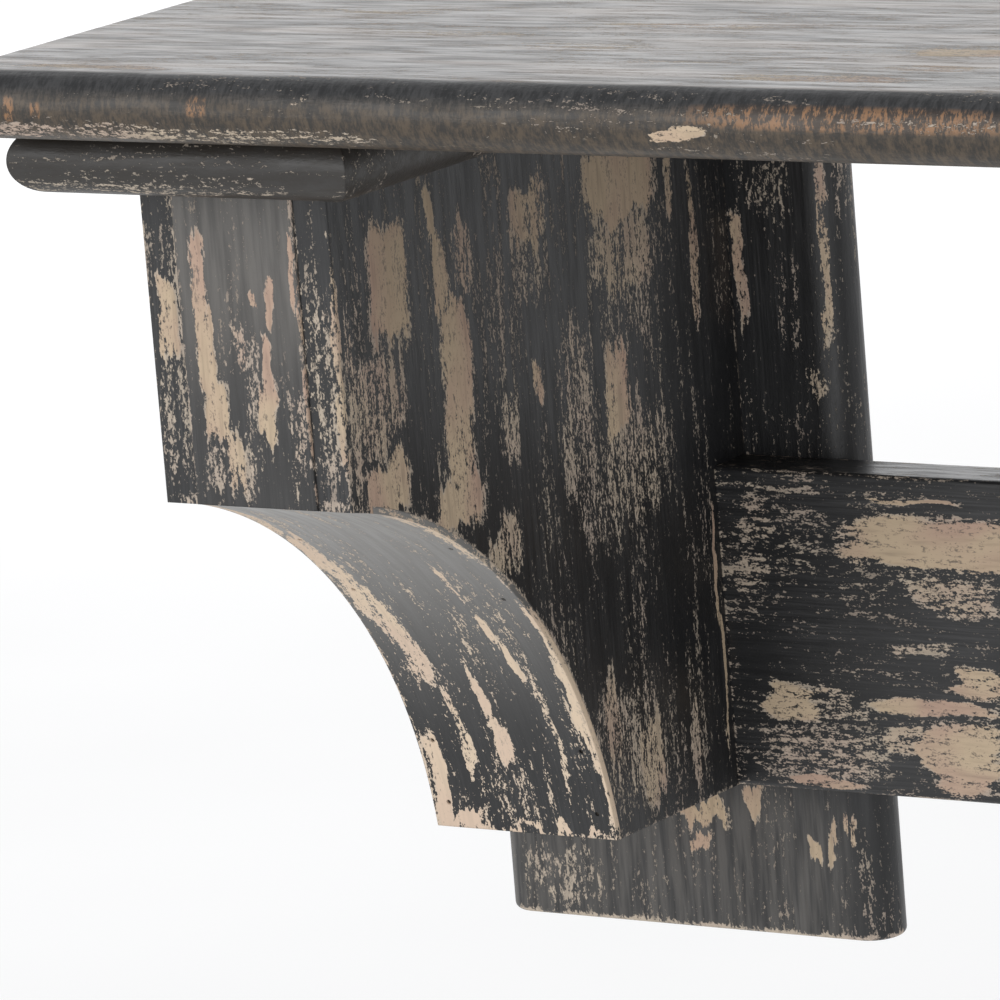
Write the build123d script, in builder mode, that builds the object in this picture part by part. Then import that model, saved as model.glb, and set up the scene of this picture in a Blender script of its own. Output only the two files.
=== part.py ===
"""Wall shelf carried on two box corbels, each planted on a wide back plate.

Frame: millimetres, +Z up, +X along the shelf.  The wall is the plane Y = 0
and the shelf stands out from it towards -Y.  The origin is the middle of the
shelf board's back face, where it meets the wall.
"""
from build123d import *
import os

os.makedirs("parts", exist_ok=True)

# ---- boards -------------------------------------------------------------
BOARD = 19.0                     # shelf, cap and back plate stock
NOSE = 9.4                       # rounding of a bullnosed edge
EASE = 0.8                       # rounding of a sanded edge
PLATE_EASE = 2.0                 # rounding of a back plate's bottom edge

# ---- shelf --------------------------------------------------------------
SHELF_LENGTH = 914.0
SHELF_DEPTH = 265.0
SHELF_TOP = BOARD / 2
SHELF_BOTTOM = -BOARD / 2

# ---- back plates --------------------------------------------------------
PLATE_WIDTH = 134.0
PLATE_HEIGHT = 280.0
PLATE_FACE = -BOARD              # Y of the front face
PLATE_BOTTOM = SHELF_BOTTOM - PLATE_HEIGHT
BRACKET_X = (SHELF_LENGTH - PLATE_WIDTH) / 2

# ---- corbels ------------------------------------------------------------
CORBEL_WIDTH = 62.0
CORBEL_HEIGHT = 211.0
CORBEL_DEPTH = 218.0             # from the wall to the cheeks' front edges
CHEEK = 11.0                     # cheek thickness
FRONT_BOARD = 11.0
FRONT_PROUD = 1.0                # the front board stands out past the cheeks
CAP_OVERHANG = 25.0
CORBEL_TOP = SHELF_BOTTOM - BOARD
CORBEL_BOTTOM = CORBEL_TOP - CORBEL_HEIGHT
CORBEL_FACE = -(CORBEL_DEPTH + FRONT_PROUD)
FRONT_REAR = CORBEL_FACE + FRONT_BOARD   # Y of the front board's back, where the cove panel starts
INSIDE = CORBEL_WIDTH - 2 * CHEEK
CAP_WIDTH = CORBEL_WIDTH + 2 * CAP_OVERHANG

# ---- cove: an arc about an axis along X -----------------------------------
COVE_AXIS = Vector(-247.0, -262.5)       # (Y, Z)
COVE_RADIUS = 147.5              # the visible hollow face
COVE_PANEL = 2.0                 # thickness of the bent panel
COVE_BACK = COVE_RADIUS + COVE_PANEL
COVE_MIDDLE = 45.0               # degrees up from +Y, inside the arc's span

# ---- blocks inside the corbels --------------------------------------------
TOP_BLOCK = 18.0
FOOT_BLOCK = 14.0
BACK_BLOCK = 22.0
BACK_BLOCK_GAP = 16.0            # to the top and the foot block

# ---- frieze rail --------------------------------------------------------
FRIEZE = 17.0
FRIEZE_HEIGHT = 95.0
FRIEZE_LENGTH = 2 * BRACKET_X - CORBEL_WIDTH
FRIEZE_EASE = 1.5

# ---- dowels -------------------------------------------------------------
DOWEL_R = 4.0
DOWEL_DEPTH = 12.0               # into each flat board
PLATE_DOWEL_DEPTH = 24.0         # into a plate's end grain
CAP_DOWELS = [(-38.0, -70.0), (38.0, -70.0), (-38.0, -205.0), (38.0, -205.0)]
PLATE_DOWELS = [(-45.0, -BOARD / 2), (45.0, -BOARD / 2)]

# ---- wood screws --------------------------------------------------------
SCREW_R = 2.0
SCREW_HEAD_R = 4.0
SMALL_SCREW_R = 1.5
SMALL_HEAD_R = 2.8
HEAD_ANGLE = 90.0
SLOT_WIDTH = 0.9
SLOT_DEPTH = 1.0
CAP_SCREW = 32.0
CAP_SCREWS = [(0.0, -60.0), (0.0, -130.0), (0.0, -195.0)]
PLATE_SCREW = 37.0
PLATE_SCREWS = [(0.0, -103.0), (0.0, -195.0)]
FRIEZE_SCREW = 31.0
FRIEZE_SCREW_X = CORBEL_WIDTH / 2 + 18.0
FRIEZE_SCREW_Z = [-168.0, -217.0]

# ---- keyhole hangers, let into the back plates -----------------------------
HANGER_WIDTH = 18.0
HANGER_LENGTH = 56.0
HANGER = 2.0
HANGER_Z = -52.0
KEY_DROP = 7.0                   # the round entry lies this far below centre
KEY_RISE = 7.0                   # the slot's end lies this far above centre
KEY_R = 5.0
KEY_SLOT_R = 2.5
POCKET_R = 7.0
POCKET_DEPTH = 13.0              # from the plate's back face
HANGER_SCREW = 14.0
HANGER_SCREW_PITCH = 43.0

# ---- brads --------------------------------------------------------------
BRAD_R = 0.7
BRAD_LENGTH = 15.0
BRAD_SINK = 0.6                  # heads lie below the surface
BRAD_ANGLES = [12.0, 20.0, 44.0, 56.0, 74.0]
FOOT_BRAD = (-83.0, -232.0)      # (Y, Z) on each cheek's outer side


def save(piece, name):
    """Label one finished piece and write it under its node's name."""
    piece.part.label = name
    export_step(piece.part, f"parts/{name}.step")


def side_plane(x):
    """Plane at X = x whose sketch axes are the frame's Y and Z."""
    return Plane(origin=(x, 0, 0), x_dir=(0, 1, 0), z_dir=(1, 0, 0))


def wall_plane(x, y=0.0):
    """Plane at Y = y, looking into the wall, centred on X = x; its y is Z."""
    return Plane(origin=(x, y, 0), x_dir=(-1, 0, 0), z_dir=(0, 1, 0))


def floor_plane(x, z):
    """Horizontal plane at Z = z, centred on X = x."""
    return Plane(origin=(x, 0, z))


def spots(plane, points):
    """Locations of points given in a plane's own x and y."""
    return [plane.location * Location((x, y, 0)) for x, y in points]


def cove_point(radius, angle):
    """Point on an arc about the cove's axis, as (Y, Z)."""
    return COVE_AXIS + Vector(radius, 0).rotate(Axis.Z, angle)


def cove_z(radius, y):
    """Height of an arc about the cove's axis at a given Y."""
    return COVE_AXIS.Y + (radius**2 - (y - COVE_AXIS.X) ** 2) ** 0.5


def cove_y(radius, z):
    """Y of an arc about the cove's axis at a given Z."""
    return COVE_AXIS.X + (radius**2 - (z - COVE_AXIS.Y) ** 2) ** 0.5


def brad_planes(x):
    """One plane for each cove brad on a line X = x, facing out of the hollow."""
    planes = []
    for angle in BRAD_ANGLES:
        spot = cove_point(COVE_RADIUS, angle)
        inward = cove_point(0, 0) - spot
        origin = (x, spot.X, spot.Y)
        planes.append(Plane(origin=origin, x_dir=(1, 0, 0), z_dir=(0, inward.X, inward.Y)))
    return planes


def foot_brad_plane(x, outward):
    """Plane of the brad that pins a cheek to the foot block."""
    return Plane(origin=(x, *FOOT_BRAD), x_dir=(0, 1, 0), z_dir=(outward, 0, 0))


def nosed_board(x, width, front, back, top, noses_at_ends):
    """Flat board with a bullnosed front and, if wanted, bullnosed ends."""
    height = top - BOARD / 2
    with BuildPart() as board:
        with BuildSketch(side_plane(x - width / 2)):
            with Locations(((front + back) / 2, height)):
                Rectangle(back - front, BOARD)
            front_corners = vertices().sort_by(Axis.X)[:2]
            fillet(front_corners, NOSE)
        extrude(amount=width)
        if noses_at_ends:
            with BuildSketch(wall_plane(x, back)):
                with Locations((0, height)):
                    Rectangle(width, BOARD)
                fillet(vertices(), NOSE)
            extrude(amount=-(back - front), mode=Mode.INTERSECT)
    return board


def wood_screws(name, places, length, radius, head_radius):
    """Group of countersunk slotted screws, heads flush at the places' planes."""
    head = head_radius - radius
    with BuildPart() as one:
        with BuildSketch(Plane.XZ):
            with BuildLine():
                Polyline(
                    (0, 0),
                    (head_radius, 0),
                    (radius, -head),
                    (radius, radius - length),
                    (0, -length),
                    close=True,
                )
            make_face()
        revolve(axis=Axis.Z)
        with BuildSketch(Plane.XY):
            Rectangle(2 * head_radius, SLOT_WIDTH)
        extrude(amount=-SLOT_DEPTH, mode=Mode.SUBTRACT)
    with BuildPart() as group:
        with Locations(*places):
            add(one.part)
    save(group, name)


def build_shelf():
    """The long board, doweled onto both caps and both back plates."""
    board = nosed_board(0, SHELF_LENGTH, -SHELF_DEPTH, 0, SHELF_TOP, True)
    underside = Plane(origin=(0, 0, SHELF_BOTTOM), x_dir=(1, 0, 0), z_dir=(0, 0, -1))
    holes = [(side * BRACKET_X + x, -y) for side in (-1, 1) for x, y in CAP_DOWELS + PLATE_DOWELS]
    with BuildPart() as shelf:
        add(board.part)
        with Locations(*spots(underside, holes)):
            Hole(DOWEL_R, DOWEL_DEPTH)
    save(shelf, "shelf_board")


def build_cap(side, x):
    """Bullnosed board between the shelf and a corbel."""
    front = CORBEL_FACE + FRONT_PROUD - CAP_OVERHANG
    board = nosed_board(x, CAP_WIDTH, front, PLATE_FACE, SHELF_BOTTOM, True)
    top = floor_plane(x, SHELF_BOTTOM)
    with BuildPart() as cap:
        add(board.part)
        with Locations(*spots(top, CAP_DOWELS)):
            Hole(DOWEL_R, DOWEL_DEPTH)
        with Locations(*spots(top, CAP_SCREWS)):
            CounterSinkHole(SCREW_R, SCREW_HEAD_R, BOARD, HEAD_ANGLE)
    save(cap, f"{side}_cap_board")


def build_plate(side, x):
    """Back plate with rounded long edges, its hanger pocket and screw holes."""
    back = wall_plane(x)
    frieze_x = FRIEZE_SCREW_X if side == "right" else -FRIEZE_SCREW_X
    frieze_holes = [(frieze_x, z) for z in FRIEZE_SCREW_Z]
    hanger_holes = [(0, HANGER_Z + rise * HANGER_SCREW_PITCH / 2) for rise in (-1, 1)]
    with BuildPart() as plate:
        with BuildSketch(floor_plane(x, PLATE_BOTTOM)):
            with Locations((0, PLATE_FACE / 2)):
                Rectangle(PLATE_WIDTH, BOARD)
            fillet(vertices(), NOSE)
        extrude(amount=PLATE_HEIGHT)
        bottom_edges = edges().group_by(Axis.Z)[0].sort_by(Axis.Y)
        fillet(bottom_edges[:-1], PLATE_EASE)
        with Locations(*spots(floor_plane(x, SHELF_BOTTOM), PLATE_DOWELS)):
            Hole(DOWEL_R, PLATE_DOWEL_DEPTH)
        with BuildSketch(back):
            with Locations((0, HANGER_Z)):
                SlotOverall(HANGER_LENGTH, HANGER_WIDTH, rotation=90)
        extrude(amount=-HANGER, mode=Mode.SUBTRACT)
        with BuildSketch(back):
            with Locations((0, HANGER_Z + (KEY_RISE - KEY_DROP) / 2)):
                SlotCenterToCenter(KEY_DROP + KEY_RISE, 2 * POCKET_R, rotation=90)
        extrude(amount=-POCKET_DEPTH, mode=Mode.SUBTRACT)
        with Locations(*spots(back, PLATE_SCREWS + frieze_holes)):
            CounterSinkHole(SCREW_R, SCREW_HEAD_R, BOARD, HEAD_ANGLE)
        with Locations(*spots(back, hanger_holes)):
            Hole(SMALL_SCREW_R, HANGER_SCREW)
    save(plate, f"{side}_back_plate")


def build_cheeks(side, x):
    """The two side boards of a corbel, cut to the cove, with a lip in front of its panel."""
    front = -CORBEL_DEPTH
    for place, outward in (("outer", -1), ("inner", 1)):
        if side == "right":
            outward = -outward
        middle = x + outward * (CORBEL_WIDTH - CHEEK) / 2
        outer_face = x + outward * CORBEL_WIDTH / 2
        with BuildPart() as cheek:
            with BuildSketch(side_plane(middle - CHEEK / 2)):
                with BuildLine():
                    lip_front = Vector(front, cove_z(COVE_RADIUS, front))
                    lip_rear = Vector(FRONT_REAR, cove_z(COVE_RADIUS, FRONT_REAR))
                    arc_start = (FRONT_REAR, cove_z(COVE_BACK, FRONT_REAR))
                    arc_end = (cove_y(COVE_BACK, CORBEL_BOTTOM), CORBEL_BOTTOM)
                    Polyline(arc_end, (PLATE_FACE, CORBEL_BOTTOM), (PLATE_FACE, CORBEL_TOP))
                    Polyline((PLATE_FACE, CORBEL_TOP), (front, CORBEL_TOP), lip_front)
                    RadiusArc(lip_front, lip_rear, COVE_RADIUS)
                    Line(lip_rear, arc_start)
                    ThreePointArc(arc_start, cove_point(COVE_BACK, COVE_MIDDLE), arc_end)
                make_face()
            extrude(amount=CHEEK)
            front_edges = edges().filter_by(Axis.Z).group_by(Axis.Y)[0].sort_by(Axis.X)
            fillet(front_edges[-1] if outward > 0 else front_edges[0], EASE)
            with Locations(*brad_planes(middle)):
                Hole(BRAD_R, BRAD_LENGTH + BRAD_SINK)
            with Locations(foot_brad_plane(outer_face, outward)):
                Hole(BRAD_R, CHEEK)
        save(cheek, f"{side}_cheek_{place}")


def build_front_board(side, x):
    """Narrow board between the cheeks, standing a little proud of them."""
    with BuildPart() as board:
        with BuildSketch(side_plane(x - INSIDE / 2)):
            with BuildLine():
                low_front = Vector(CORBEL_FACE, cove_z(COVE_RADIUS, CORBEL_FACE))
                low_rear = Vector(FRONT_REAR, cove_z(COVE_RADIUS, FRONT_REAR))
                high_rear = (FRONT_REAR, CORBEL_TOP)
                Polyline(low_rear, high_rear, (CORBEL_FACE, CORBEL_TOP), low_front)
                RadiusArc(low_front, low_rear, COVE_RADIUS)
            make_face()
        extrude(amount=INSIDE)
        face_edges = edges().filter_by(Axis.Z).group_by(Axis.Y)[0]
        fillet(face_edges, EASE)
    save(board, f"{side}_front_board")


def build_cove_panel(side, x):
    """Thin bent panel behind the front board, pinned to both cheeks."""
    edge = (CORBEL_WIDTH - CHEEK) / 2
    with BuildPart() as panel:
        with BuildSketch(side_plane(x - CORBEL_WIDTH / 2)):
            with BuildLine():
                inner_top = (FRONT_REAR, cove_z(COVE_RADIUS, FRONT_REAR))
                inner_foot = (cove_y(COVE_RADIUS, CORBEL_BOTTOM), CORBEL_BOTTOM)
                outer_top = (FRONT_REAR, cove_z(COVE_BACK, FRONT_REAR))
                outer_foot = (cove_y(COVE_BACK, CORBEL_BOTTOM), CORBEL_BOTTOM)
                ThreePointArc(inner_top, cove_point(COVE_RADIUS, COVE_MIDDLE), inner_foot)
                Line(inner_foot, outer_foot)
                ThreePointArc(outer_foot, cove_point(COVE_BACK, COVE_MIDDLE), outer_top)
                Line(outer_top, inner_top)
            make_face()
        extrude(amount=CORBEL_WIDTH)
        for line in (x - edge, x + edge):
            with Locations(*brad_planes(line)):
                Hole(BRAD_R, 2 * COVE_PANEL)
    save(panel, f"{side}_cove_panel")


def build_blocks(side, x):
    """Blocks glued inside a corbel: under the cap, at the foot and at the back."""
    foot_top = CORBEL_BOTTOM + FOOT_BLOCK
    block_top = CORBEL_TOP - TOP_BLOCK - BACK_BLOCK_GAP
    block_bottom = foot_top + BACK_BLOCK_GAP
    with BuildPart() as top:
        with BuildSketch(floor_plane(x, CORBEL_TOP - TOP_BLOCK)):
            with Locations((0, (FRONT_REAR + PLATE_FACE) / 2)):
                Rectangle(INSIDE, PLATE_FACE - FRONT_REAR)
        extrude(amount=TOP_BLOCK)
        with Locations(*spots(floor_plane(x, CORBEL_TOP), CAP_SCREWS)):
            Hole(SCREW_R, CAP_SCREW - BOARD)
    save(top, f"{side}_top_block")

    with BuildPart() as foot:
        with BuildSketch(side_plane(x - INSIDE / 2)):
            with BuildLine():
                low = (cove_y(COVE_BACK, CORBEL_BOTTOM), CORBEL_BOTTOM)
                high = (cove_y(COVE_BACK, foot_top), foot_top)
                Polyline(high, (PLATE_FACE, foot_top), (PLATE_FACE, CORBEL_BOTTOM), low)
                RadiusArc(low, high, -COVE_BACK)
            make_face()
        extrude(amount=INSIDE)
        for outward in (-1, 1):
            with Locations(foot_brad_plane(x + outward * INSIDE / 2, outward)):
                Hole(BRAD_R, BRAD_LENGTH + BRAD_SINK - CHEEK)
    save(foot, f"{side}_foot_block")

    with BuildPart() as back:
        with BuildSketch(floor_plane(x, block_bottom)):
            with Locations((0, PLATE_FACE - BACK_BLOCK / 2)):
                Rectangle(INSIDE, BACK_BLOCK)
        extrude(amount=block_top - block_bottom)
        with Locations(*spots(wall_plane(x, PLATE_FACE), PLATE_SCREWS)):
            Hole(SCREW_R, PLATE_SCREW - BOARD)
    save(back, f"{side}_back_block")


def build_frieze():
    """Rail between the two corbels, against the back plates."""
    with BuildPart() as frieze:
        with BuildSketch(floor_plane(0, CORBEL_BOTTOM)):
            with Locations((0, PLATE_FACE - FRIEZE / 2)):
                Rectangle(FRIEZE_LENGTH, FRIEZE)
        extrude(amount=FRIEZE_HEIGHT)
        long_edges = edges().filter_by(Axis.X).group_by(Axis.Y)[0]
        fillet(long_edges, FRIEZE_EASE)
        for side in (-1, 1):
            holes = [(side * FRIEZE_SCREW_X, z) for z in FRIEZE_SCREW_Z]
            with Locations(*spots(wall_plane(side * BRACKET_X, PLATE_FACE), holes)):
                Hole(SCREW_R, FRIEZE_SCREW - BOARD)
    save(frieze, "frieze_rail")


def build_hanger(side, x):
    """Steel keyhole plate let flush into a back plate."""
    screw_spots = [(0, HANGER_Z + rise * HANGER_SCREW_PITCH / 2) for rise in (-1, 1)]
    with BuildPart() as hanger:
        with BuildSketch(wall_plane(x)):
            with Locations((0, HANGER_Z)):
                SlotOverall(HANGER_LENGTH, HANGER_WIDTH, rotation=90)
            with Locations((0, HANGER_Z - KEY_DROP)):
                Circle(KEY_R, mode=Mode.SUBTRACT)
            with Locations((0, HANGER_Z + (KEY_RISE - KEY_DROP) / 2)):
                SlotCenterToCenter(
                    KEY_DROP + KEY_RISE, 2 * KEY_SLOT_R, rotation=90, mode=Mode.SUBTRACT
                )
        extrude(amount=-HANGER)
        with Locations(*spots(wall_plane(x), screw_spots)):
            CounterSinkHole(SMALL_SCREW_R, SMALL_HEAD_R, HANGER, HEAD_ANGLE)
    save(hanger, f"{side}_hanger")
    places = spots(wall_plane(x), screw_spots)
    wood_screws(f"{side}_hanger_screws", places, HANGER_SCREW, SMALL_SCREW_R, SMALL_HEAD_R)


def build_dowels(side, x):
    """Beech dowels that tie the shelf to a cap and to a back plate."""
    with BuildPart() as cap_dowels:
        with BuildSketch(floor_plane(x, SHELF_BOTTOM - DOWEL_DEPTH)):
            with Locations(*CAP_DOWELS):
                Circle(DOWEL_R)
        extrude(amount=2 * DOWEL_DEPTH)
    save(cap_dowels, f"{side}_cap_dowels")
    with BuildPart() as plate_dowels:
        with BuildSketch(floor_plane(x, SHELF_BOTTOM - PLATE_DOWEL_DEPTH)):
            with Locations(*PLATE_DOWELS):
                Circle(DOWEL_R)
        extrude(amount=DOWEL_DEPTH + PLATE_DOWEL_DEPTH)
    save(plate_dowels, f"{side}_plate_dowels")


def build_screws(side, x):
    """Screws down through the cap, and from the back into block and frieze."""
    top = floor_plane(x, SHELF_BOTTOM)
    frieze_x = FRIEZE_SCREW_X if side == "right" else -FRIEZE_SCREW_X
    frieze_spots = [(frieze_x, z) for z in FRIEZE_SCREW_Z]
    wood_screws(f"{side}_cap_screws", spots(top, CAP_SCREWS), CAP_SCREW, SCREW_R, SCREW_HEAD_R)
    places = spots(wall_plane(x), PLATE_SCREWS)
    wood_screws(f"{side}_plate_screws", places, PLATE_SCREW, SCREW_R, SCREW_HEAD_R)
    places = spots(wall_plane(x), frieze_spots)
    wood_screws(f"{side}_frieze_screws", places, FRIEZE_SCREW, SCREW_R, SCREW_HEAD_R)


def build_brads(side, x):
    """Headless brads, sunk below the cove panel and below the cheeks."""
    edge = (CORBEL_WIDTH - CHEEK) / 2
    places = []
    for line in (x - edge, x + edge):
        places += [plane.offset(-BRAD_SINK).location for plane in brad_planes(line)]
    for outward in (-1, 1):
        face = foot_brad_plane(x + outward * CORBEL_WIDTH / 2, outward)
        places.append(face.offset(-BRAD_SINK).location)
    with BuildPart() as one:
        with BuildSketch(Plane.XY):
            Circle(BRAD_R)
        extrude(amount=-BRAD_LENGTH)
    with BuildPart() as brads:
        with Locations(*places):
            add(one.part)
    save(brads, f"{side}_brads")


build_shelf()
build_frieze()
for side, x in (("left", -BRACKET_X), ("right", BRACKET_X)):
    build_cap(side, x)
    build_plate(side, x)
    build_cheeks(side, x)
    build_front_board(side, x)
    build_cove_panel(side, x)
    build_blocks(side, x)
    build_hanger(side, x)
    build_dowels(side, x)
    build_screws(side, x)
    build_brads(side, x)
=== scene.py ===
"""Looks of the wall shelf with brackets: distressed charcoal paint over a tan primer.

The CAD frame's boards keep their shapes. This script gives each one its own dry-brushed paint,
and adds the floor, the light and the camera. Patches and board sizes are in mm, in the row frame.
"""

import math
import random

import bpy
from mathutils import Matrix, Vector


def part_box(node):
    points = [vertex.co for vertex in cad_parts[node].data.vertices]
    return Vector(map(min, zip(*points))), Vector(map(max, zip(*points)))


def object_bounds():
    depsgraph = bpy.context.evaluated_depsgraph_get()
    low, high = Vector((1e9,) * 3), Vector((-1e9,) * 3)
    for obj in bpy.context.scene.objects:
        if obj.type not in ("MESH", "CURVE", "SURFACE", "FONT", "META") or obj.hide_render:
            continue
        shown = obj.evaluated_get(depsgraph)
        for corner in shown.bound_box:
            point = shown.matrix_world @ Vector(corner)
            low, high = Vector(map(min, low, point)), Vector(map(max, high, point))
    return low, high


MM_PER_METRE = 1000.0

# The camera: a long lens, a little above the shelf and to its right.
CAMERA_TARGET = (-0.300, -0.233, -0.108)
CAMERA_DISTANCE = 2.2
CAMERA_AZIMUTH = 34.35
CAMERA_ELEVATION = 11.86
CAMERA_ROLL = 4.71
CAMERA_LENS = 298.7
CAMERA_SENSOR = 36.0
CAMERA_CLIP_END = 60.0

# The quarter-round cove under each bracket: an arc in the (y, z) plane, in mm.
COVE_AXIS_Y = -247.0
COVE_AXIS_Z = -262.5
COVE_RADIUS = 147.5
COVE_PANEL = 2.0
COVE_BACK = COVE_RADIUS + COVE_PANEL
COVE_FOOT_ANGLE = 9.0
COVE_TOP_ANGLE = 74.9

# Where the shelf's rounded nose begins, and where its paint has fully taken over, in mm along y.
NOSE_RANGE_Y = (-256.5, -258.0)
# The nose turns from brown to charcoal over this height.
NOSE_TOP_Z = (2.0, 6.5)
# How much less worn the nose is than its patches say.
NOSE_CALM = 0.12

# Where a lighter grey film lies: dust and painted sheen on the front boards, painted sheen on the
# back plates' feet but not their rounded sides, which face away from the light, and painted sheen
# on the cove, in degrees.
FRONT_DUST_AND_SHEEN_Z = (-100.0, -52.0)
PLATE_SHEEN_Z = (-236.0, -256.0)
PLATE_SHEEN_X = (62.0, 50.0)
COVE_SHEEN_ANGLES = (16.0, 66.0)
# Where painted shade browns a cheek's primer: under the shelf, and behind the front edge.
SHADE_Z_UNDER_SHELF = (-125.0, -45.0)
SHADE_Y_BEHIND_EDGE = (-215.0, -190.0)

# Colours, as linear values.
TAN_PINK = (0.415, 0.285, 0.215, 1.0)
TAN_YELLOW = (0.470, 0.365, 0.250, 1.0)
# Light tan for the cove's primer: painted bounce light from below.
TAN_LIGHT = (0.800, 0.650, 0.500, 1.0)
CREAM = (0.430, 0.380, 0.320, 1.0)
CHARCOAL = (0.0085, 0.0088, 0.0098, 1.0)
CHARCOAL_SOFT = (0.038, 0.038, 0.039, 1.0)
BROWN_BLACK = (0.016, 0.013, 0.010, 1.0)
BROWN = (0.068, 0.048, 0.029, 1.0)
ORANGE = (0.260, 0.130, 0.055, 1.0)
# Lighter grey: dry-brushed dust on the shelf's top, and painted sheen there, on the front boards and
# on the plates' feet.
DUST_AND_SHEEN_GREY = (0.150, 0.140, 0.128, 1.0)
# Warm clouds on the shelf's top: dust, and painted sheen seen at a grazing angle.
WARM_DUST_AND_SHEEN = (0.235, 0.190, 0.158, 1.0)
# Grey that lightens the top of the cove: painted sheen, the grazing reflection of the floor.
COVE_SHEEN_GREY = (0.235, 0.230, 0.220, 1.0)
RAW_PINE = (0.52, 0.36, 0.19, 1.0)
RAW_PINE_DARK = (0.36, 0.21, 0.09, 1.0)
BEECH = (0.50, 0.31, 0.17, 1.0)
BEECH_DARK = (0.36, 0.20, 0.10, 1.0)
ZINC = (0.62, 0.63, 0.64, 1.0)
ZINC_DULL = (0.42, 0.42, 0.40, 1.0)
YELLOW_ZINC = (0.45, 0.42, 0.30, 1.0)
YELLOW_ZINC_DULL = (0.34, 0.31, 0.20, 1.0)
DARK_STEEL = (0.10, 0.09, 0.08, 1.0)
DARK_STEEL_DULL = (0.05, 0.04, 0.03, 1.0)

# The axes across the brush strokes get 1, and the axis along them 0.
ACROSS = {"x": (0, 1, 1), "z": (1, 1, 0), "arc": (1, 0, 1)}
# What a cap's seed adds to its bracket's first one.
CAP_SEED = 9
# A half size that takes a patch right through a board.
THROUGH = 400.0
# How strong a scattered patch may be.
SCATTERED_STRENGTH = (0.35, 1.0)

# Brush marks: cycles per mm across the strokes and along them, detail and roughness.
STREAK_MARKS = (0.42, 0.040, 3.0, 0.55)
SPECK_MARKS = (1.05, 0.40, 2.0, 0.6)
FINE_MARKS = (2.1, 1.3, 2.0, 0.6)
BROAD_MARKS = (0.075, 0.022, 2.0, 0.5)
WOBBLE_MARKS = (0.16, 0.05, 3.0, 0.6)
TINT_MARKS = (0.05, 0.03)
CLOUD_MARKS = (0.05, 0.018, 3.0, 0.6)
HAIR_MARKS = (1.6, 0.035, 3.0, 0.65)
SHELF_HAIR_MARKS = (1.5, 0.07, 2.0, 0.6)
SHELF_BAND_MARKS = (0.55, 0.012, 4.0, 0.7)
SHELF_CLOUD_MARKS = (0.07, 0.012)
CAP_HAIR_MARKS = (0.5, 0.12, 3.0, 0.65)
# Marks of the front boards' dust and painted sheen, and of the plates' painted sheen.
FRONT_DUST_AND_SHEEN_MARKS = (0.25, 0.02, 3.0, 0.6)
PLATE_SHEEN_MARKS = (0.35, 0.03, 3.0, 0.6)
GRAIN_MARKS = (1.1, 0.02, 3.0, 0.6)
RING_MARKS = (0.16, 0.006)

# Noise that is not brushed: cycles per mm along x, y and z.
NOSE_COARSE = (0.40, 0.05, 0.22)
NOSE_HAIRS = (1.30, 0.30, 0.55)
METAL_CLOUDS = (0.25, 0.25, 0.25)
METAL_SCRATCHES = (3.0, 0.6, 0.25)
FLOOR_CLOUDS = (0.002, 0.002, 0.002)

# What share each kind of mark has in the ragged edge of the paint.
STREAK_SHARE = 0.32
SPECK_SHARE = 0.38
FINE_SHARE = 0.30

# How far patches are pushed about, in mm across the strokes and along them.
WOBBLE = (1.6, 6.0)
# How far patches and broad wear can bare the primer.
PATCH_WEAR = 1.02
BROAD_WEAR = 0.20
# The paint's broken rim goes from painted to bare over this range.
RIM = (-0.03, 0.05)
# How much of the light tan is in the cove's primer: painted bounce light from below.
COVE_PAINTED_LIGHT = 0.45

# The relief of the paint, in m, and the shares of its marks and of the step down to the primer.
PAINT_DEPTH = 0.0004
PAINT_STEP = 0.55
SPECK_RELIEF = 0.35
STREAK_RELIEF = 0.4
FINE_RELIEF = 0.2
RELIEF_STRENGTH = 0.5
EDGE_ROUNDING = 0.0008
PAINT_ROUGHNESS = (0.36, 0.52)
BARE_ROUGHER = 0.22

# The relief of bare wood and of metal, in m.
WOOD_RELIEF = 0.0002
METAL_RELIEF = 0.0001

# The lights: name, place, target, size in metres and power in watts.
SOFTBOXES = [
    ("key", (-1.3, -2.0, 0.55), (-0.3, -0.1, -0.1), 1.4, 16.5),
    ("back", (-1.9, 2.0, 0.75), (-0.2, -0.1, 0.0), 2.2, 23.0),
    ("fill", (0.9, -2.2, 0.05), (-0.35, -0.1, -0.2), 1.4, 16.0),
]
SKY = (0.97, 0.98, 1.0, 1.0)
SKY_STRENGTH = 0.60

# The floor is mid grey and glows, so that it looks evenly pale.
FLOOR_SIZE = 30.0
FLOOR_GAP = 0.10
FLOOR_GREYS = ((0.44, 0.44, 0.44, 1.0), (0.48, 0.48, 0.48, 1.0))
FLOOR_GLOW = 0.54
WHITE = (1.0, 1.0, 1.0, 1.0)


# ---------------------------------------------------------------- patches of worn paint, in mm
# Each row is (a, b, half a, half b, strength) in the plane of two axes. In x, 0 is the bracket's
# middle. A strength of 1 bares the primer, and a low one only speckles it.

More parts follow.
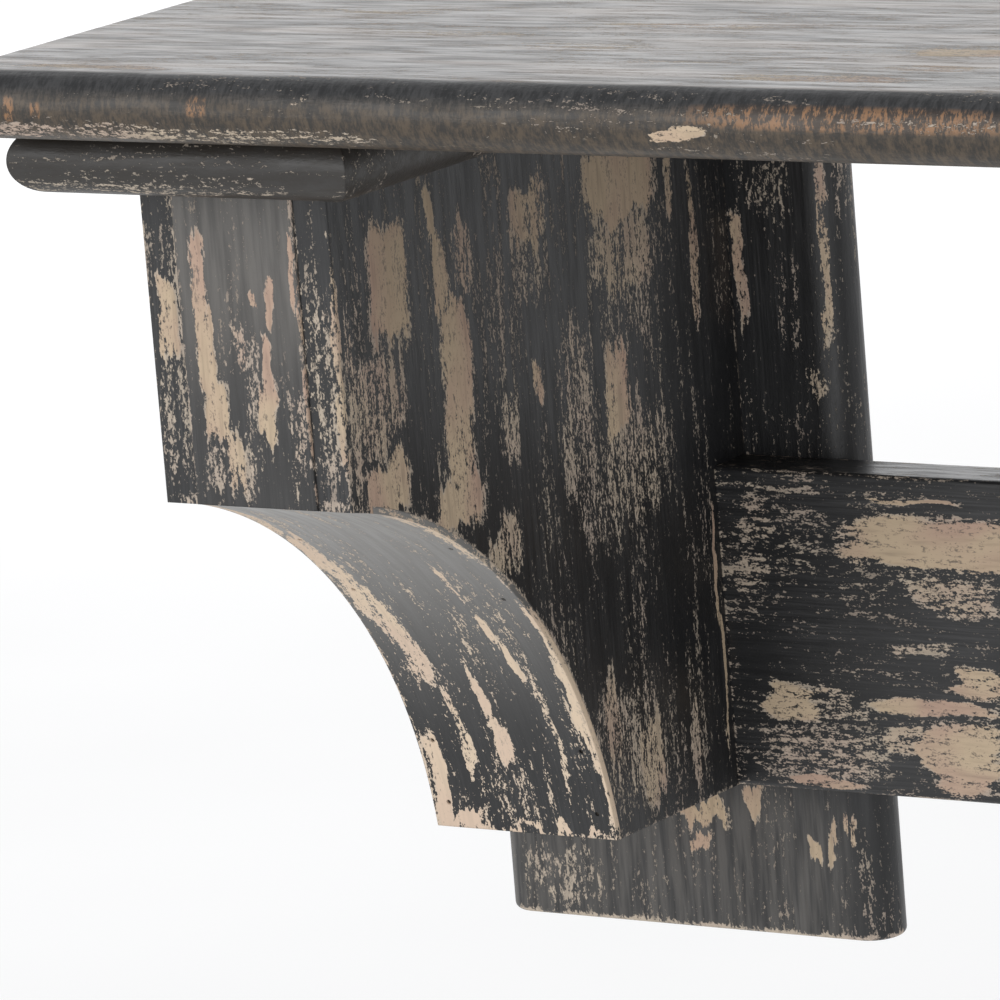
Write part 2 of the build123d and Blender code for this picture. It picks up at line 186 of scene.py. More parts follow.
CHEEK_FACE = [
    (-192, -61, 9.5, 15, 1.0), (-201, -91, 13, 13, 0.60), (-200, -115, 10, 8, 0.95),
    (-212, -89, 3, 28, 0.55), (-170, -44, 2, 10, 0.92), (-167, -62, 3, 11, 1.0),
    (-162, -88, 7, 17, 0.97), (-164, -110, 7, 12, 0.85), (-166, -127, 11, 6.5, 0.95),
    (-155, -58, 5, 8, 0.62), (-122, -53, 9, 8, 0.75), (-122, -68, 8, 9, 0.40),
    (-75, -53, 18, 10, 1.0), (-75, -74, 17, 10, 0.62), (-76, -92, 14, 9, 0.36),
    (-49, -59, 1.8, 9, 0.72), (-38, -77, 2.0, 22, 0.75), (-140, -80, 8, 20, 0.28),
    (-123, -101, 1.8, 9, 0.95), (-139, -114, 4, 9, 0.50), (-104, -112, 9, 24, 0.46),
    (-83, -112, 6, 12, 0.88), (-77, -134, 16, 16, 0.50), (-94, -140, 14, 14, 0.36),
    (-146, -144, 9, 6, 0.62), (-92, -214, 16, 18, 0.45), (-99, -206, 4, 14, 0.66),
    (-80, -222, 7, 14, 0.66), (-56, -222, 3, 10, 0.52), (-39, -190, 0.8, 33, 0.95),
]
INNER_STRIP = [(25, -86, 5.5, 26, 0.42), (30.5, -77, 1.2, 32, 0.72)]
OUTER_STRIP = [(-25, -66, 4, 11, 0.9), (-25, -96, 6, 18, 0.36)]
FRONT_FACE = [
    (-13, -54, 2.6, 11, 1.0), (-12, -74, 3.6, 12, 1.0), (-10, -90, 4, 10, 0.95),
    (-5, -104, 4, 8, 0.75), (5, -59, 0.8, 5.5, 0.9), (10, -61, 1.4, 4, 0.9), (-1, -73, 2.4, 8, 0.6),
    (8, -79, 1.8, 9, 0.95), (7, -90, 3, 7, 1.0), (18, -53, 1.1, 10, 0.85), (17, -98, 4, 12, 0.5),
    (-6, -107, 9, 7, 0.45), (2, -84, 3, 12, 0.36), (20.2, -82, 0.6, 36, 0.75),
]
PLATE_FACE = [
    (44, -67, 7.5, 8, 0.33), (33, -84, 1.4, 12, 0.88), (35, -98, 1.2, 7, 0.7),
    (62, -84, 1.0, 27, 0.72), (68, -62, 3, 10, 0.33), (57, -122, 3, 7.5, 0.60),
    (50, -100, 4, 16, 0.22), (24, -250, 3, 3.5, 1.0), (7, -253, 9, 4, 0.88),
    (5, -263, 3.5, 2.3, 0.9), (45, -262, 2.4, 4, 0.97), (51, -261, 0.8, 5, 0.9),
    (55, -258, 1, 3.5, 0.85), (58, -258, 1, 3.5, 0.8), (-44, -276, 13, 9, 0.36),
]
COVE_FACE = [
    (-28, 52, 3, 5, 0.95), (-24, 45, 4, 5, 0.82), (-21, 38, 4.5, 4, 0.80),
    (-19.5, 32, 3.5, 4, 0.75), (29, 63, 2.2, 10, 0.72), (11, 48, 0.8, 4, 0.8),
    (11, 37, 1.0, 3, 0.95), (14, 32, 1.6, 3, 0.95), (18, 22, 1.0, 8, 0.6),
    (-2.5, 27, 1.8, 3.5, 1.0), (-1, 20.5, 3, 3, 1.0), (-14, 25, 1.4, 3.5, 0.85),
    (-14, 19.5, 2.2, 3, 0.8), (30.5, 38, 1.5, 6, 0.9), (30, 27, 2.4, 6, 1.0),
    (30.5, 16, 1.4, 7, 0.9), (-27, 15, 3, 6, 0.95), (-22, 10.3, 8, 0.9, 0.95),
    (0, 9.2, 30, 0.5, 0.8), (0, 14, 14, 5, 0.20), (-29, 66, 1.5, 8, 0.8),
]
FRIEZE_FACE = [
    (108, -164, 33, 7.5, 1.0), (84, -165, 8, 4, 0.85), (109, -179, 15, 6, 0.60),
    (43, -159, 5, 7, 0.50), (42, -175, 5, 6.5, 0.48), (57, -167, 9, 13, 0.28),
    (96, -152, 14, 0.9, 0.9), (52, -213, 10, 6, 0.86), (68, -213, 7, 5, 0.5),
    (114, -204, 9, 4.5, 0.9), (102, -212, 20, 2.2, 0.95), (108, -227, 12, 10, 0.97),
    (61, -228, 22, 7.5, 0.50), (60, -237, 12, 1.8, 0.92), (93, -196, 8.5, 1.8, 0.5),
    (92, -222, 9, 4, 0.6), (60, -149, 30, 1.4, 0.35),
]
CAP_FRONT = [(-20, -26, 40, 1.8, 0.34), (-34, -19, 22, 3, 0.15), (20, -24, 14, 2.5, 0.25)]
SHELF_FACE = [
    (231, -226, 14, 4, 0.6), (228, -203, 18, 5, 0.95), (205, -243, 26, 5, 0.62),
    (119, -172, 28, 3, 0.6), (-19, -250, 28, 3, 0.55), (110, -205, 20, 4, 0.5),
    (60, -190, 26, 3, 0.42), (10, -160, 24, 3, 0.5), (-30, -120, 20, 3, 0.5),
    (150, -226, 22, 2, 0.45),
]
SHELF_NOSE_CHIPS = [
    (174, -2, 5.5, 1.4, 1.0), (60, 5, 2, 1, 0.5), (5, -6.0, 75, 2.2, 0.56), (250, 2, 30, 1.5, 0.40),
]
NOSE_ORANGE = [
    (-37, 0, 1.8, 3.2, 1.0), (-28, 0, 1.5, 2, 1.0), (25, 2, 3, 2.4, 1.0), (228, 3, 45, 2.8, 1.0),
]
# Where the patches on the shelf's flat and nose, and on the cheeks' front edges, lie on the third
# axis, and their half size along it.
SHELF_FLAT_DEPTH = (9.5, 3.0)
SHELF_NOSE_DEPTH = (-265.0, 6.0)
CHEEK_EDGE_DEPTH = (-218.0, 2.0)


class Graph:
    """One material's node tree, with a short method for each kind of node used here."""

    def __init__(self, name):
        self.material = bpy.data.materials.new(name)
        self.material.use_nodes = True
        self.tree = self.material.node_tree
        self.tree.nodes.clear()

    def node(self, kind, inputs, **settings):
        made = self.tree.nodes.new(kind)
        for key, value in settings.items():
            setattr(made, key, value)
        for key, value in inputs.items():
            self.feed(made.inputs[key], value)
        return made

    def feed(self, socket, value):
        if isinstance(value, bpy.types.NodeSocket):
            self.tree.links.new(value, socket)
        else:
            socket.default_value = value

    def math(self, operation, a, b=0.0, c=0.0):
        return self.node("ShaderNodeMath", {0: a, 1: b, 2: c}, operation=operation).outputs[0]

    def vector(self, operation, a, b=(0.0, 0.0, 0.0), c=(0.0, 0.0, 0.0)):
        made = self.node("ShaderNodeVectorMath", {0: a, 1: b, 2: c}, operation=operation)
        return made.outputs["Value" if operation == "LENGTH" else "Vector"]

    def ramp(self, value, low, high, to_low=0.0, to_high=1.0):
        """value, taken smoothly from low..high to to_low..to_high."""
        inputs = {"Value": value, "From Min": low, "From Max": high}
        inputs.update({"To Min": to_low, "To Max": to_high})
        return self.node("ShaderNodeMapRange", inputs, interpolation_type="SMOOTHSTEP").outputs[0]

    def noise(self, vector, detail=2.0, roughness=0.5):
        inputs = {"Vector": vector, "Scale": 1.0, "Detail": detail, "Roughness": roughness}
        return self.node("ShaderNodeTexNoise", inputs).outputs["Fac"]

    def mix(self, factor, a, b):
        made = self.node("ShaderNodeMix", {0: factor, 6: a, 7: b}, data_type="RGBA")
        return made.outputs[2]

    def split(self, vector):
        return self.node("ShaderNodeSeparateXYZ", {0: vector}).outputs

    def join(self, x, y, z):
        return self.node("ShaderNodeCombineXYZ", {0: x, 1: y, 2: z}).outputs[0]

    def place(self):
        """The point in the row frame, in mm."""
        metres = self.node("ShaderNodeTexCoord", {}).outputs["Object"]
        return self.vector("MULTIPLY", metres, (MM_PER_METRE,) * 3)

    def bump(self, height, strength, distance, normal=None):
        inputs = {"Height": height, "Strength": strength, "Distance": distance}
        if normal:
            inputs["Normal"] = normal
        return self.node("ShaderNodeBump", inputs).outputs[0]

    def surface(self, **inputs):
        """Ends the tree with a Principled shader, and returns the material."""
        named = {key.replace("_", " "): value for key, value in inputs.items()}
        shader = self.node("ShaderNodeBsdfPrincipled", named)
        self.node("ShaderNodeOutputMaterial", {"Surface": shader.outputs[0]})
        return self.material


# ---------------------------------------------------------------- fields over a board

def patch_field(g, point, patches):
    """How worn a point is, from 0 to 1: the most that any (centre, half size, strength) gives."""
    field = 0.0
    for centre, half, strength in patches:
        inverse = tuple(1.0 / h for h in half)
        offset = tuple(-c / h for c, h in zip(centre, half))
        scaled = g.vector("MULTIPLY_ADD", point, inverse, offset)
        reach = g.vector("LENGTH", g.vector("MULTIPLY", scaled, scaled))
        field = g.math("MAXIMUM", g.ramp(reach, 1.75, 0.50, 0.0, strength), field)
    return field


def edge_distance(g, point, low, high):
    """The distance in mm from a point on a box's surface to the box's nearest edge."""
    middle = tuple(-(a + b) / 2 for a, b in zip(low, high))
    parts = g.split(g.vector("ABSOLUTE", g.vector("ADD", point, middle)))
    gaps = [g.math("SUBTRACT", (b - a) / 2, part) for part, a, b in zip(parts, low, high)]
    small = g.math("MINIMUM", gaps[0], gaps[1])
    large = g.math("MAXIMUM", gaps[0], gaps[1])
    return g.math("MAXIMUM", small, g.math("MINIMUM", large, gaps[2]))


def cove_point(g, point):
    """The point in the cove's own directions: across the bracket, along the curve, and outward."""
    x, y, z = g.split(point)
    from_axis_y = g.math("SUBTRACT", y, COVE_AXIS_Y)
    from_axis_z = g.math("SUBTRACT", z, COVE_AXIS_Z)
    angle = g.math("ARCTAN2", from_axis_z, from_axis_y)
    along = g.math("MULTIPLY", angle, COVE_RADIUS)
    outward = g.vector("LENGTH", g.join(0.0, from_axis_y, from_axis_z))
    return g.join(x, along, outward)


def arc_mm(degrees):
    """How far along the cove's curve an angle reaches."""
    return math.radians(degrees) * COVE_RADIUS


class Brush:
    """Noise for brush marks: many cycles per mm across the strokes, few along them."""

    def __init__(self, g, point, strokes, seed):
        self.g = g
        self.point = point
        self.strokes = strokes
        self.seed = seed

    def marks(self, across, along, detail=2.0, roughness=0.5):
        self.seed += 1.0
        factors = tuple(across if cross else along for cross in ACROSS[self.strokes])
        offset = (self.seed * 7.3, self.seed * 3.1, self.seed * 5.7)
        scaled = self.g.vector("MULTIPLY_ADD", self.point, factors, offset)
        return self.g.noise(scaled, detail, roughness)

    def wobbled(self, across, along):
        """The point, shifted by up to these many mm, so that patches lose their even outlines."""
        shift = self.g.ramp(self.marks(*WOBBLE_MARKS), 0.2, 0.8, -1.0, 1.0)
        reach = tuple(across if cross else along for cross in ACROSS[self.strokes])
        return self.g.vector("MULTIPLY_ADD", self.g.join(shift, shift, shift), reach, self.point)


def plain_tones(g, point, brush):
    """Charcoal, dry-brushed lighter in places."""
    cloud = g.ramp(brush.marks(*CLOUD_MARKS), 0.35, 0.68)
    hairs = g.ramp(brush.marks(*HAIR_MARKS), 0.35, 0.75)
    return g.mix(g.math("MULTIPLY", cloud, hairs), CHARCOAL, CHARCOAL_SOFT)


def shelf_tones(g, point, brush):
    """Grey streaks of dry brush and painted sheen on the flat; a brown nose combed across by the
    brush.
    """
    hairs = brush.marks(*SHELF_HAIR_MARKS)
    bands = brush.marks(*SHELF_BAND_MARKS)
    streaks = g.math("MULTIPLY_ADD", hairs, 0.5, g.math("MULTIPLY", bands, 0.5))
    # Dry-brushed grey and painted sheen on the flat.
    flat = g.mix(g.ramp(streaks, 0.38, 0.62), CHARCOAL_SOFT, DUST_AND_SHEEN_GREY)
    warm = g.ramp(brush.marks(*SHELF_CLOUD_MARKS), 0.42, 0.66, 0.0, 0.65)
    flat = g.mix(warm, flat, WARM_DUST_AND_SHEEN)
    _, y, z = g.split(point)
    return g.mix(g.ramp(y, *NOSE_RANGE_Y), flat, nose_tones(g, point, z))


def nose_tones(g, point, z):
    """Brown, charcoal towards the top, with orange spots."""
    coarse = g.noise(g.vector("MULTIPLY", point, NOSE_COARSE), 3.0, 0.6)
    hairs = g.noise(g.vector("MULTIPLY", point, NOSE_HAIRS), 3.0, 0.7)
    comb = g.math("MULTIPLY_ADD", coarse, 0.5, g.math("MULTIPLY", hairs, 0.5))
    comb = g.ramp(comb, 0.40, 0.62)
    brown = g.mix(comb, BROWN_BLACK, BROWN)
    charcoal = g.mix(comb, CHARCOAL, CHARCOAL_SOFT)
    nose = g.mix(g.ramp(z, *NOSE_TOP_Z), brown, charcoal)
    spots = patch_field(g, point, in_plane(NOSE_ORANGE, "xz"))
    spots = g.math("MULTIPLY", spots, g.ramp(comb, 0.25, 0.85, 0.08, 0.85))
    return g.mix(spots, nose, ORANGE)


def cap_tones(g, point, brush):
    """Brown-black, a little warmer than the boards below."""
    hairs = g.ramp(brush.marks(*CAP_HAIR_MARKS), 0.35, 0.72)
    return g.mix(g.math("MULTIPLY", hairs, 0.3), BROWN_BLACK, CHARCOAL_SOFT)


def front_tones(g, point, brush):
    """Charcoal under a grey film of dust and painted sheen, on the board that faces forward."""
    cloud = g.ramp(brush.marks(*FRONT_DUST_AND_SHEEN_MARKS), 0.35, 0.65, 0.5, 1.0)
    # Dust and painted sheen, lighter towards the top of the board.
    sheen_film = g.ramp(g.split(point)[2], *FRONT_DUST_AND_SHEEN_Z, 0.10, 0.70)
    return g.mix(g.math("MULTIPLY", cloud, sheen_film), plain_tones(g, point, brush), DUST_AND_SHEEN_GREY)


def plate_tones(g, point, brush):
    """Charcoal with a grey painted sheen at the foot of the plate, away from its rounded sides."""
    x, _, z = g.split(point)
    # Painted sheen at the plate's foot, left off the rounded sides that face away from the light.
    sheen_film = g.math("MULTIPLY", g.ramp(z, *PLATE_SHEEN_Z, 0.0, 0.42), g.ramp(x, *PLATE_SHEEN_X))
    streaks = g.ramp(brush.marks(*PLATE_SHEEN_MARKS), 0.34, 0.64, 0.15, 1.0)
    return g.mix(g.math("MULTIPLY", sheen_film, streaks), plain_tones(g, point, brush), DUST_AND_SHEEN_GREY)


def cove_tones(g, point, brush):
    """Charcoal that turns to a grey painted sheen towards the top of the hollow."""
    along = g.split(brush.point)[1]
    low, high = (arc_mm(angle) for angle in COVE_SHEEN_ANGLES)
    # Painted sheen towards the top of the cove.
    return g.mix(g.ramp(along, low, high, 0.0, 0.85), plain_tones(g, point, brush), COVE_SHEEN_GREY)


class Look:
    """How one kind of board is brushed, toned and worn. edge_width is in mm."""

    def __init__(self, strokes="z", tones=plain_tones, base=0.01, edge_wear=0.6, edge_width=1.8):
        self.strokes = strokes
        self.tones = tones
        self.base = base
        self.edge_wear = edge_wear
        self.edge_width = edge_width


CHEEKS = ("cheek_inner", "cheek_outer")
LOOKS = {
    "shelf_board": Look("x", shelf_tones, base=0.02, edge_wear=0.3),
    "frieze_rail": Look("x", base=0.02),
    "cap_board": Look("x", cap_tones, base=-0.05, edge_wear=0.25),
    "cheek_inner": Look(),
    "cheek_outer": Look(),
    "front_board": Look(tones=front_tones, base=-0.03, edge_wear=0.9),
    "back_plate": Look(tones=plate_tones, base=-0.03, edge_wear=1.3, edge_width=3.0),
    "cove_panel": Look("arc", cove_tones),
}


class Marks:
    """The noises that a board's paint is made of."""

    def __init__(self, g, brush):
        self.streak = brush.marks(*STREAK_MARKS)
        self.specks = brush.marks(*SPECK_MARKS)
        self.fine = brush.marks(*FINE_MARKS)
        self.broad = g.ramp(brush.marks(*BROAD_MARKS), 0.36, 0.66)


def wear(g, look, marks, worn, edge):
    """How worn the paint is: the most that broad wear, the patches and the edges give."""
    level = g.math("MULTIPLY_ADD", marks.broad, BROAD_WEAR, look.base)
    level = g.math("MAXIMUM", level, g.math("MULTIPLY", worn, PATCH_WEAR))
    fringe = g.ramp(edge, 0.0, look.edge_width, look.edge_wear, 0.0)
    broken = g.ramp(marks.broad, 0.0, 1.0, 0.45, 1.0)
    return g.math("MAXIMUM", level, g.math("MULTIPLY", fringe, broken))


def above_paint(g, marks, level):
    """Over 0 where the primer shows, and how far over."""
    ragged = g.math("MULTIPLY", marks.streak, STREAK_SHARE)
    ragged = g.math("MULTIPLY_ADD", marks.specks, SPECK_SHARE, ragged)
    ragged = g.math("MULTIPLY_ADD", marks.fine, FINE_SHARE, ragged)
    return g.math("SUBTRACT", g.ramp(ragged, 0.37, 0.63), g.math("SUBTRACT", 1.0, level))


def board_edge(g, node, kind, row, curved, centre_x):
    """How far a point is from the board's nearest edge, in mm."""
    if kind == "cove_panel":
        return edge_distance(g, curved, *cove_box(node, centre_x))
    edge = edge_distance(g, row, *box_mm(node))
    if kind in CHEEKS:
        return g.math("MINIMUM", edge, g.math("SUBTRACT", g.split(curved)[2], COVE_BACK))
    return edge


def primer_tones(g, brush, marks, worn, over):
    """Tan primer, pinker or yellower, creamier where it is little worn, and filmed at its rims."""
    tan = g.mix(g.ramp(brush.marks(*TINT_MARKS), 0.35, 0.65), TAN_PINK, TAN_YELLOW)
    tan = g.mix(g.ramp(worn, 0.35, 0.85, 0.65, 0.0), tan, CREAM)
    rims = g.ramp(over, 0.05, 0.35, 0.52, 0.0)
    film = g.math("MAXIMUM", rims, g.ramp(marks.streak, 0.5, 0.75, 0.0, 0.30))
    return g.mix(film, tan, CHARCOAL_SOFT)


def primer_with_painted_light(g, kind, point, tan):
    """The primer, lighter on a cove as painted bounce light, and browner on a cheek as painted shade.
    """
    if kind == "cove_panel":
        # Painted bounce light: the cove's primer is lighter.
        return g.mix(COVE_PAINTED_LIGHT, tan, TAN_LIGHT)
    if kind in CHEEKS:
        _, y, z = g.split(point)
        # Painted shade: browner under the shelf and back from the front edge.
        painted_shade = g.math("MULTIPLY", g.ramp(z, *SHADE_Z_UNDER_SHELF, 0.0, 0.42), g.ramp(y, *SHADE_Y_BEHIND_EDGE))
        return g.mix(painted_shade, tan, BROWN)
    return tan


def paint_normal(g, marks, bare):
    """The relief of the brush marks and of the paint's broken rims, over softened edges."""
    specks = g.math("MULTIPLY", marks.specks, SPECK_RELIEF)
    height = g.math("MULTIPLY_ADD", bare, -PAINT_STEP, specks)
    height = g.math("MULTIPLY_ADD", marks.streak, STREAK_RELIEF, height)
    height = g.math("MULTIPLY_ADD", marks.fine, FINE_RELIEF, height)
    rounded = g.node("ShaderNodeBevel", {"Radius": EDGE_ROUNDING}, samples=4).outputs[0]
    return g.bump(height, RELIEF_STRENGTH, PAINT_DEPTH, rounded)


def distressed(name, node, kind, centre_x, patches, seed):
    """Charcoal paint dry-brushed over tan primer, on one board."""
    look = LOOKS[kind]
    g = Graph(name)
    row = g.place()
    point = g.vector("SUBTRACT", row, (centre_x, 0.0, 0.0))
    curved = cove_point(g, point)
    flow = curved if look.strokes == "arc" else point
    brush = Brush(g, flow, look.strokes, seed * 10.0)
    edge = board_edge(g, node, kind, row, curved, centre_x)

    marks = Marks(g, brush)
    worn = patch_field(g, brush.wobbled(*WOBBLE), patches)
    level = wear(g, look, marks, worn, edge)
    if kind == "shelf_board":
        calm = g.ramp(g.split(row)[1], *NOSE_RANGE_Y, 0.0, NOSE_CALM)
        level = g.math("SUBTRACT", level, calm)
    over = above_paint(g, marks, level)
    bare = g.ramp(over, *RIM)

    tan = primer_tones(g, brush, marks, worn, over)
    # Painted light and shade in the primer: lighter on the cove, browner on the cheeks.
    tan = primer_with_painted_light(g, kind, point, tan)
    colour = g.mix(bare, look.tones(g, point, brush), tan)
    rough_paint = g.ramp(marks.streak, 0.3, 0.7, *PAINT_ROUGHNESS)
    rough = g.math("MULTIPLY_ADD", bare, BARE_ROUGHER, rough_paint)
    return g.surface(Base_Color=colour, Roughness=rough, Normal=paint_normal(g, marks, bare))


# ---------------------------------------------------------------- unpainted materials

def wood(name, light, dark, along, seed):
    """Unpainted softwood or beech, with grain along one axis."""
    g = Graph(name)
    brush = Brush(g, g.place(), along, seed)
    fine = brush.marks(*GRAIN_MARKS)
    rings = g.math("SINE", g.math("MULTIPLY", brush.marks(*RING_MARKS), 60.0))
    grain = g.math("MULTIPLY_ADD", fine, 0.6, g.ramp(rings, -1.0, 1.0, 0.0, 0.4))
    colour = g.mix(g.ramp(grain, 0.25, 0.8), light, dark)
    rough = g.ramp(fine, 0.3, 0.7, 0.55, 0.7)
    return g.surface(Base_Color=colour, Roughness=rough, Normal=g.bump(fine, 0.3, WOOD_RELIEF))


def metal(name, colour, stain, roughness):
    """Plated or bare steel with fine scratches and a dull stain."""
    g = Graph(name)
    point = g.place()
    cloud = g.noise(g.vector("MULTIPLY", point, METAL_CLOUDS), 3.0, 0.6)
    scratch = g.noise(g.vector("MULTIPLY", point, METAL_SCRATCHES), 2.0, 0.6)
    tint = g.mix(g.ramp(cloud, 0.35, 0.7, 0.0, 0.7), colour, stain)
    rough = g.ramp(scratch, 0.3, 0.7, roughness, roughness + 0.2)
    normal = g.bump(scratch, 0.2, METAL_RELIEF)
    return g.surface(Base_Color=tint, Roughness=rough, Metallic=1.0, Normal=normal)


# ---------------------------------------------------------------- painting the boards

def in_plane(rows, axes, depth=None):
    """Rows of (a, b, half a, half b, strength) laid in the plane of two axes.

    depth is (place, half size) on the third axis; without it a patch goes right through."""
    order = ["xyz".index(axis) for axis in axes]
    third = 3 - sum(order)
    made = []
    for a, b, half_a, half_b, strength in rows:
        centre = [0.0, 0.0, 0.0]
        half = [THROUGH, THROUGH, THROUGH]
        centre[order[0]], centre[order[1]] = a, b
        half[order[0]], half[order[1]] = half_a, half_b
        if depth:
            centre[third], half[third] = depth
        made.append((centre, half, strength))
    return made


def scattered(seed, low, high, wide, long, count):
    """Rows of worn patches scattered over a rectangle, for the places seen only from elsewhere."""
    draw = random.Random(seed)
    rows = []
    for _ in range(count):
        a = draw.uniform(low[0], high[0])
        b = draw.uniform(low[1], high[1])
        half_a = draw.uniform(*wide)
        half_b = draw.uniform(*long)
        rows.append((a, b, half_a, half_b, draw.uniform(*SCATTERED_STRENGTH)))
    return rows


def box_mm(node):
    low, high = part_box(node)
    return tuple(low * MM_PER_METRE), tuple(high * MM_PER_METRE)


def on_cove(rows):
    """Cove patches, with their degrees turned into mm along the curve."""
    turned = [(x, arc_mm(d), hx, arc_mm(hd), s) for x, d, hx, hd, s in rows]
    return in_plane(turned, "xy")


def paint(node, material):
    """Gives a CAD node its material, in every slot it has."""
    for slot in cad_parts[node].material_slots:
        slot.material = material


def middle_x(node):
    low, high = box_mm(node)
    return (low[0] + high[0]) / 2


def paint_long_boards():
    left = middle_x("left_cap_board")
    rest = scattered(3, (300, -250), (850, -15), (10, 30), (2, 6), 22)
    patches = in_plane(SHELF_FACE + rest, "xy", SHELF_FLAT_DEPTH)
    patches += in_plane(SHELF_NOSE_CHIPS, "xz", SHELF_NOSE_DEPTH)
    paint("shelf_board", distressed("shelf_paint", "shelf_board", "shelf_board", left, patches, 3.0))
    rest = scattered(4, (150, -236), (745, -150), (8, 34), (2, 8), 22)
    patches = in_plane(FRIEZE_FACE + rest, "xz")
    paint("frieze_rail", distressed("frieze_paint", "frieze_rail", "frieze_rail", left, patches, 4.0))


def board_patches(side):
    """The patches of one bracket's boards. The left one is seen closest."""
    if side == "left":
        return {
            "cheek_inner": in_plane(CHEEK_FACE, "yz") + in_plane(INNER_STRIP, "xz", CHEEK_EDGE_DEPTH),
            "cheek_outer": scattered_cheek(7) + in_plane(OUTER_STRIP, "xz", CHEEK_EDGE_DEPTH),
            "front_board": in_plane(FRONT_FACE, "xz"),
            "back_plate": in_plane(PLATE_FACE, "xz"),
            "cove_panel": on_cove(COVE_FACE),
        }
    return {
        "cheek_inner": scattered_cheek(8),
        "cheek_outer": scattered_cheek(9),
        "front_board": in_plane(scattered(10, (-18, -112), (18, -40), (1, 4), (6, 14), 10), "xz"),
        "back_plate": in_plane(scattered(11, (-62, -288), (62, -40), (1, 6), (5, 14), 18), "xz"),
        "cove_panel": on_cove(scattered(12, (-30, 10), (30, 70), (1, 4), (2, 7), 12)),
    }


def scattered_cheek(seed):
    return in_plane(scattered(seed, (-212, -236), (-24, -34), (1.5, 9), (7, 24), 22), "yz")


def paint_bracket(side):
    centre = middle_x(side + "_cap_board")
    first_seed = 5.0 if side == "left" else 21.0
    boards = list(board_patches(side).items())
    for number, (board, patches) in enumerate(boards):
        paint_board(side, board, centre, patches, first_seed + number)
    paint_board(side, "cap_board", centre, in_plane(CAP_FRONT, "xz"), first_seed + CAP_SEED)


def paint_board(side, board, centre, patches, seed):
    node = side + "_" + board
    paint(node, distressed(node + "_paint", node, board, centre, patches, seed))


def cove_box(node, centre):
    """The bent panel's bounds across, along the curve and outward."""
    low, high = box_mm(node)
    lowest = (low[0] - centre, arc_mm(COVE_FOOT_ANGLE), COVE_RADIUS)
    highest = (high[0] - centre, arc_mm(COVE_TOP_ANGLE), COVE_BACK)
    return lowest, highest


def paint_plain_parts():
    pine = wood("bare_pine", RAW_PINE, RAW_PINE_DARK, "x", 1.0)
    beech = wood("beech_dowel", BEECH, BEECH_DARK, "z", 2.0)
    zinc = metal("zinc_plate", ZINC, ZINC_DULL, 0.32)
    yellow = metal("yellow_zinc", YELLOW_ZINC, YELLOW_ZINC_DULL, 0.34)
    steel = metal("brad_steel", DARK_STEEL, DARK_STEEL_DULL, 0.45)
    finishes = {
        pine: ("top_block", "foot_block", "back_block"),
        beech: ("cap_dowels", "plate_dowels"),
        zinc: ("hanger", "hanger_screws"),
        yellow: ("cap_screws", "plate_screws", "frieze_screws"),
        steel: ("brads",),
    }
    for side in ("left", "right"):
        for material, parts in finishes.items():
            for part in parts:
                paint(side + "_" + part, material)


# ---------------------------------------------------------------- stage

def add_floor(low):
    """A plain pale floor, a little under the brackets."""
    bpy.ops.mesh.primitive_plane_add(size=FLOOR_SIZE, location=(0.0, 0.0, low.z - FLOOR_GAP))
    floor = bpy.context.active_object
    floor.name = "floor"
    g = Graph("floor_white")
    cloud = g.noise(g.vector("MULTIPLY", g.place(), FLOOR_CLOUDS), 3.0, 0.5)
    colour = g.mix(g.ramp(cloud, 0.3, 0.7), *FLOOR_GREYS)
    floor.data.materials.append(g.surface(
        Base_Color=colour, Roughness=0.9, Emission_Color=WHITE, Emission_Strength=FLOOR_GLOW))


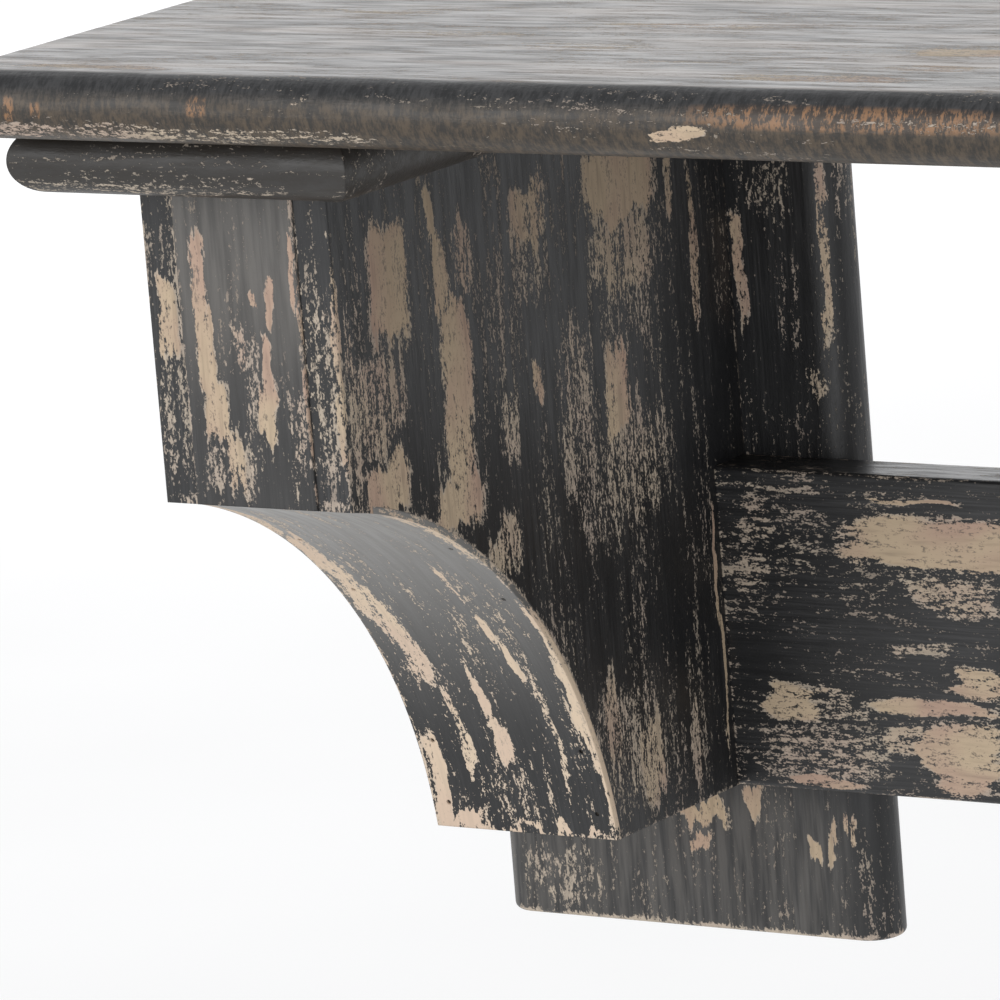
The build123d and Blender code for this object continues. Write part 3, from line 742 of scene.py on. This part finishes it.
def add_softbox(name, location, target, size, power):
    """A square softbox that faces target, and that no camera sees."""
    data = bpy.data.lights.new(name, "AREA")
    data.shape = "SQUARE"
    data.size = size
    data.energy = power
    lamp = bpy.data.objects.new(name, data)
    bpy.context.scene.collection.objects.link(lamp)
    lamp.location = location
    lamp.rotation_euler = (Vector(target) - Vector(location)).to_track_quat("-Z", "Y").to_euler()
    lamp.visible_camera = False


def add_lights():
    world = bpy.data.worlds.new("studio")
    bpy.context.scene.world = world
    world.use_nodes = True
    sky = world.node_tree.nodes["Background"]
    sky.inputs[0].default_value = SKY
    sky.inputs[1].default_value = SKY_STRENGTH
    for softbox in SOFTBOXES:
        add_softbox(*softbox)
    bpy.context.scene.view_settings.view_transform = "Standard"


def camera_axes():
    """The camera's right, down and forward directions, with its roll."""
    a, e, r = (math.radians(v) for v in (CAMERA_AZIMUTH, CAMERA_ELEVATION, CAMERA_ROLL))
    right = Vector((math.cos(a), math.sin(a), 0.0))
    forward = Vector((-math.sin(a) * math.cos(e), math.cos(a) * math.cos(e), -math.sin(e)))
    down = forward.cross(right)
    rolled_right = right * math.cos(r) + down * math.sin(r)
    rolled_down = down * math.cos(r) - right * math.sin(r)
    return rolled_right, rolled_down, forward


def add_camera():
    right, down, forward = camera_axes()
    data = bpy.data.cameras.new("camera")
    data.lens = CAMERA_LENS
    data.sensor_width = CAMERA_SENSOR
    data.clip_end = CAMERA_CLIP_END
    camera = bpy.data.objects.new("camera", data)
    bpy.context.scene.collection.objects.link(camera)
    turn = Matrix((right, -down, -forward)).transposed().to_4x4()
    place = Vector(CAMERA_TARGET) - forward * CAMERA_DISTANCE
    camera.matrix_world = Matrix.Translation(place) @ turn
    bpy.context.scene.camera = camera


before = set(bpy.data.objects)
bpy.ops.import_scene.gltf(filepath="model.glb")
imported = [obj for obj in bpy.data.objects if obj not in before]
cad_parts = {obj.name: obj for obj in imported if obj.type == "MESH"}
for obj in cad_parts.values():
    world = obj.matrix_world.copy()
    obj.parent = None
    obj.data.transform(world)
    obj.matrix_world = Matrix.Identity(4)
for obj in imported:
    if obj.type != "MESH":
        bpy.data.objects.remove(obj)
cad_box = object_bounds()
add_camera()
paint_long_boards()
for side in ("left", "right"):
    paint_bracket(side)
paint_plain_parts()
add_floor(cad_box[0])
add_lights()
